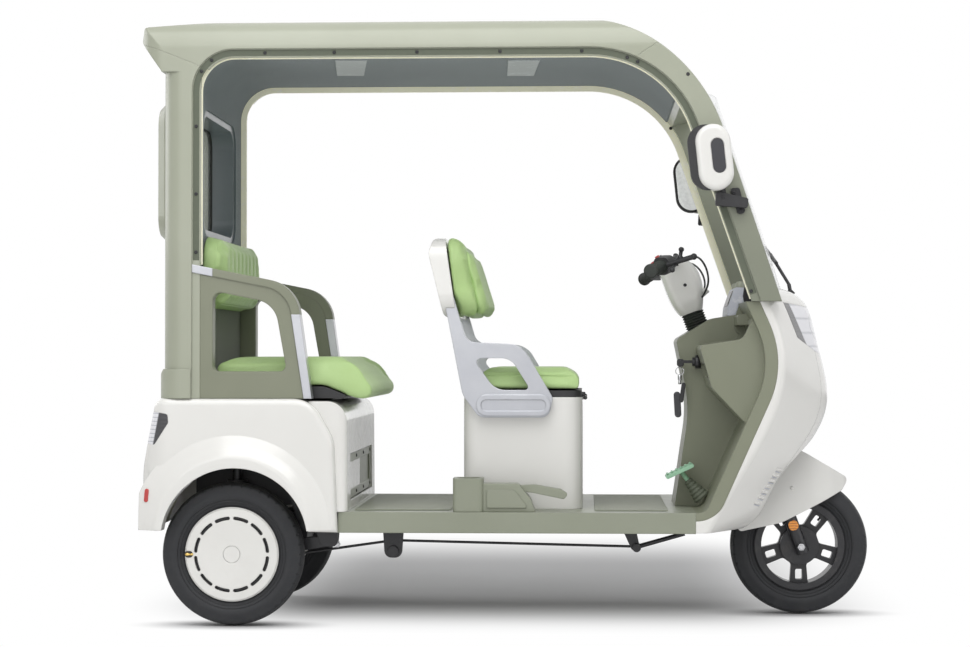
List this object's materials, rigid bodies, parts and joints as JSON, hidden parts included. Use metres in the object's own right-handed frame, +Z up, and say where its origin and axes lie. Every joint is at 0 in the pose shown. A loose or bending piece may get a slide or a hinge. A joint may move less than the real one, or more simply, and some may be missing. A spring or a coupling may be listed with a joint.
{
  "type": "electric passenger tricycle",
  "caption": "Covered electric tricycle with an open-sided cab, a steered front wheel, driven rear wheels, a driver's seat with a lifting cushion and a rear passenger bench.",
  "frame": {"origin": "on the ground under the middle of the vehicle's bounding box", "axes": "+X forward, +Y to the vehicle's left, +Z up"},
  "size_m": [2.2106, 1.066, 1.8227],
  "materials": {
    "green_panel": "satin sage green moulding",
    "white_panel": "gloss warm white moulding",
    "seat_cover": "apple green synthetic leather",
    "silver": "silver paint",
    "liner": "grey-blue lining",
    "cream_trim": "pale edge strip",
    "black_plastic": "grained black",
    "black_rubber": "matt bellows",
    "mint_rubber": "pale green pad",
    "black_metal": "satin black paint",
    "tyre": "road tyre",
    "glass": "clear pane",
    "lamp_clear": "clear lens",
    "lamp_red": "red lens",
    "lamp_amber": "amber lens"
  },
  "bodies": {
    "body": {"chassis_frame": "black_metal", "rear_axle": "black_metal", "rear_suspension": "black_metal", "brake_linkage": "black_metal", "rear_body": "white_panel", "battery_cover": "green_panel", "battery_block": "black_plastic", "rear_lamps": "lamp_clear", "wheel_arch_liners": "green_panel", "floor_deck": "green_panel", "rear_wall": "green_panel", "rear_window": "glass", "roof_shell": "green_panel", "front_frame": "green_panel", "cab_liner": "liner", "door_lips": "cream_trim", "windscreen": "glass", "wiper": "black_plastic", "shield_panels": "white_panel", "front_panel": "white_panel", "nose_cap": "white_panel", "headlights": "lamp_clear", "inner_shield": "green_panel", "instrument_pod": "liner", "brake_pedal": "mint_rubber", "pedal_boot": "black_rubber", "driver_seat_box": "white_panel", "driver_seat_arms": "silver", "driver_back_shell": "white_panel", "driver_back_pad": "seat_cover", "driver_back_panel": "seat_cover", "handbrake": "green_panel", "rear_armrests": "green_panel", "armrest_trims": "silver", "rear_seat_base": "black_plastic", "rear_seat_cushion": "seat_cover", "rear_backrest": "seat_cover", "mirror_brackets": "black_plastic", "mirrors": "white_panel"},
    "seat_lid": {"driver_seat_pan": "black_plastic", "driver_seat_cushion": "seat_cover"},
    "steered": {"fork": "black_metal", "fork_reflectors": "lamp_amber", "front_fender": "white_panel", "handlebar": "black_plastic", "handlebar_housing": "white_panel", "steering_boot": "black_rubber"},
    "wheel_front": {"front_tyre": "tyre", "front_wheel": "black_metal"},
    "wheel_rear_left": {"rear_tyre_left": "tyre", "rear_wheel_left": "white_panel"},
    "wheel_rear_right": {"rear_tyre_right": "tyre", "rear_wheel_right": "white_panel"}
  },
  "joints": [
    {"name": "steering", "type": "hinge", "parent": "body", "child": "steered", "pos_m": [0.576, 0, 0.899], "axis": [-0.342, 0, 0.9397], "range_deg": [-40, 40]},
    {"name": "front_wheel_spin", "type": "hinge", "parent": "steered", "child": "wheel_front", "pos_m": [0.891, 0, 0.215], "axis": [0, 1, 0], "continuous": true},
    {"name": "rear_wheel_left_spin", "type": "hinge", "parent": "body", "child": "wheel_rear_left", "pos_m": [-0.831, 0.385, 0.215], "axis": [0, 1, 0], "continuous": true},
    {"name": "rear_wheel_right_spin", "type": "hinge", "parent": "body", "child": "wheel_rear_right", "pos_m": [-0.831, -0.385, 0.215], "axis": [0, 1, 0], "continuous": true},
    {"name": "driver_seat_lid", "type": "hinge", "parent": "body", "child": "seat_lid", "pos_m": [0.223, 0, 0.679], "axis": [0, 1, 0], "range_deg": [0, 60]}
  ]
}
